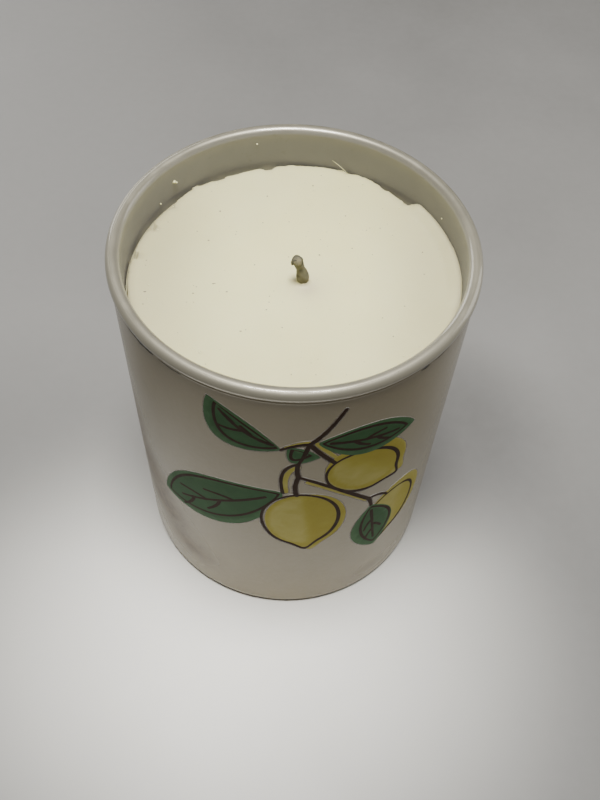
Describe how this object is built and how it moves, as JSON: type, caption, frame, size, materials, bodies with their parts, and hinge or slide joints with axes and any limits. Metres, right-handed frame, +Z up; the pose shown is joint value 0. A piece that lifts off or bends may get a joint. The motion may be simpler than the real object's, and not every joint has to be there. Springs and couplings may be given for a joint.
{
  "type": "container candle in a glass jar",
  "caption": "Straight-sided opal glass candle jar, lacquered outside, with a printed lemon sprig, filled with wax round a wick held by a metal tab.",
  "frame": {"origin": "centre of the foot, on the surface that the candle stands on", "axes": "+Z up along the jar's axis, -Y towards the side with the print, +X to the right seen from that side"},
  "size_m": [0.08, 0.08, 0.1],
  "materials": {
    "opal_glass": "cream opal glass, fire-polished",
    "cream_lacquer": "gloss lacquer, light wear",
    "print_film": "clear, gloss",
    "green_ink": "satin ink with uneven tone",
    "yellow_ink": "satin ink with uneven tone",
    "brown_ink": "satin ink",
    "wax": "smooth, slightly translucent, matt",
    "cotton_wick": "braided cotton soaked in wax",
    "tab_metal": "bright tinplate",
    "pad_foam": "matt foam tape",
    "label_paper": "uncoated paper, blank"
  },
  "bodies": {
    "root": {"glass_tumbler": "opal_glass", "lacquer_coat": "cream_lacquer", "print_film": "print_film", "leaf_ink": "green_ink", "lemon_ink": "yellow_ink", "line_ink": "brown_ink", "wax_fill": "wax", "wick": "cotton_wick", "wick_tab": "tab_metal", "adhesive_pad": "pad_foam", "base_label": "label_paper"}
  },
  "joints": []
}
